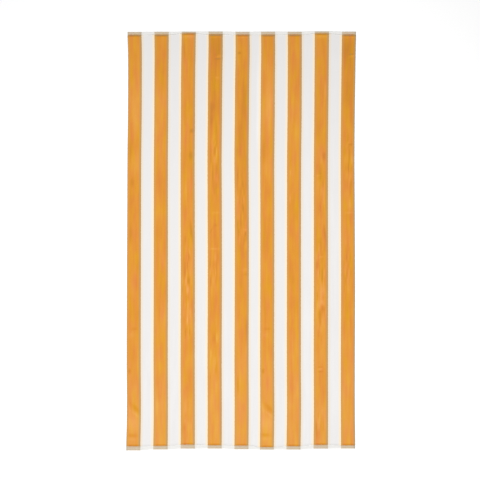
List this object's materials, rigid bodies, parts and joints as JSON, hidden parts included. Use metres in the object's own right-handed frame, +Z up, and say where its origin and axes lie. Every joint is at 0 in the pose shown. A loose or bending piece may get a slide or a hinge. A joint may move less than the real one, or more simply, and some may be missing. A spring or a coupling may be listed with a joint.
{
  "type": "beach towel",
  "caption": "Striped cotton beach towel laid out flat, cut pile on the front and loops on the back, with a narrow flat-woven hem across each end.",
  "frame": {"origin": "on the surface that the towel rests on, below the middle of its outline", "axes": "+X across the stripes, +Y along the stripes, +Z up, out of the cut-pile front"},
  "size_m": [0.91, 1.6576, 0.0054],
  "materials": {
    "towel_cloth": "yarn-dyed cotton in lengthwise orange and white stripes, cut pile on the front, loops on the back, pale flat-woven hems"
  },
  "bodies": {
    "root": {"towel": "towel_cloth"}
  },
  "joints": []
}
